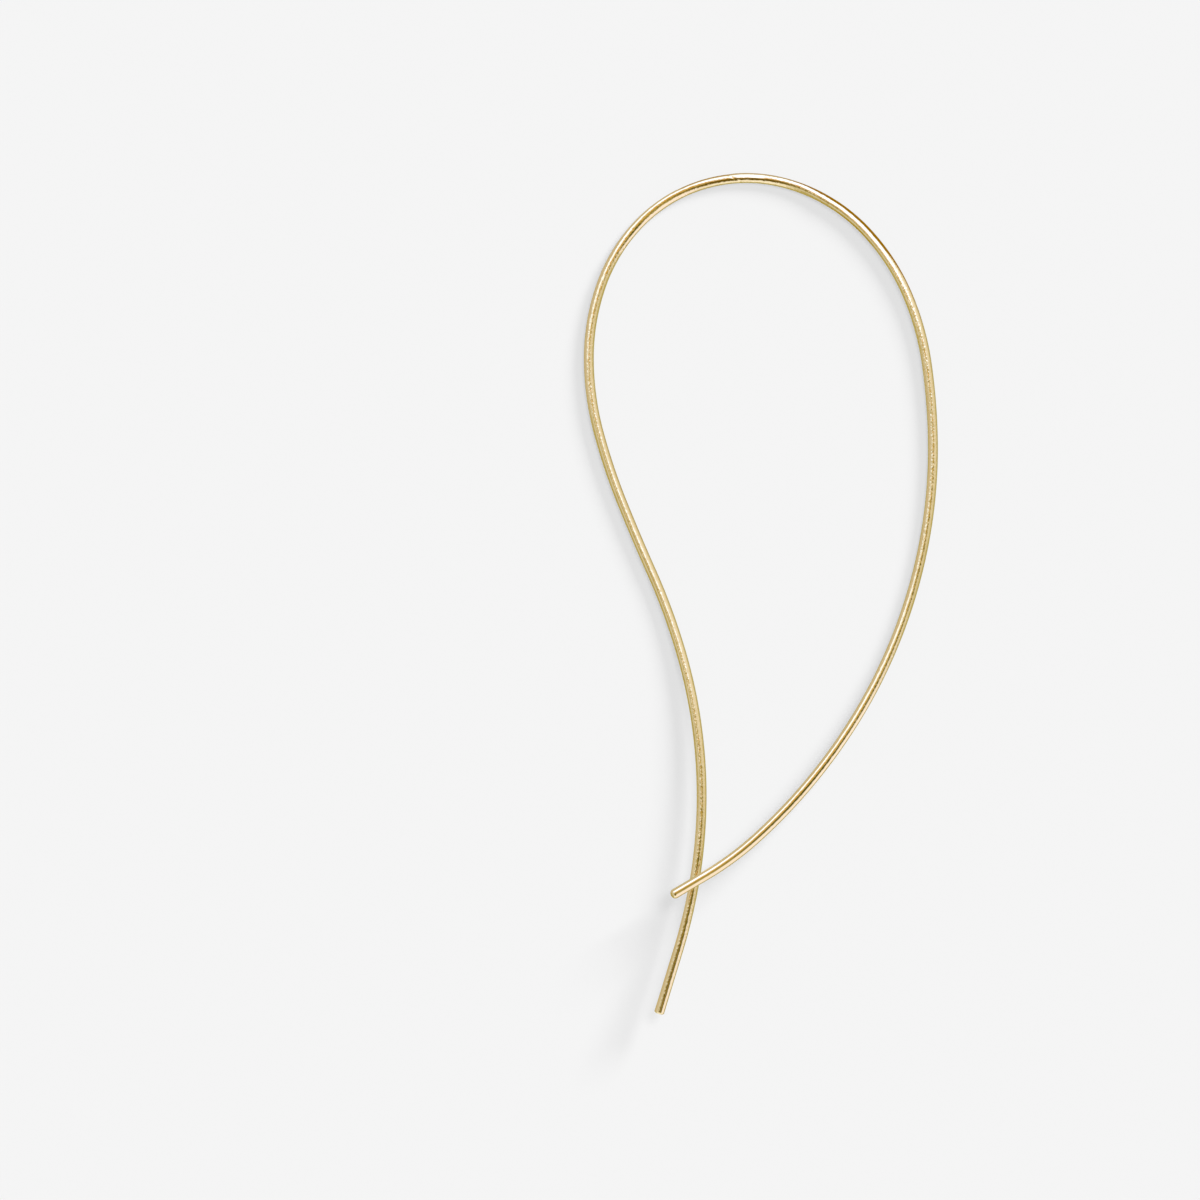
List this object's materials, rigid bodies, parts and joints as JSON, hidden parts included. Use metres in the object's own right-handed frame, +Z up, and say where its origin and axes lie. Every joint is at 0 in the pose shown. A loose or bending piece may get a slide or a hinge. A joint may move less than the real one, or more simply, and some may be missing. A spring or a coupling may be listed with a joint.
{
  "type": "hook earring",
  "caption": "Long open teardrop hook earring bent from one round gold wire, with two free ends that cross; it threads through the piercing and hangs from its crown.",
  "frame": {"origin": "middle of the bounding box on the surface that the earring lies on", "axes": "the earring lies on its back: +X across the hoop to the picture's right, +Y from the two ends up to the crown, +Z up from the surface, towards who looks at the worn earring's face"},
  "size_m": [0.0282, 0.0672, 0.0042],
  "materials": {
    "gold_wire": "polished pale yellow gold wire, with fine draw lines and tiny pits"
  },
  "bodies": {
    "root": {"ear_wire": "gold_wire"}
  },
  "joints": []
}
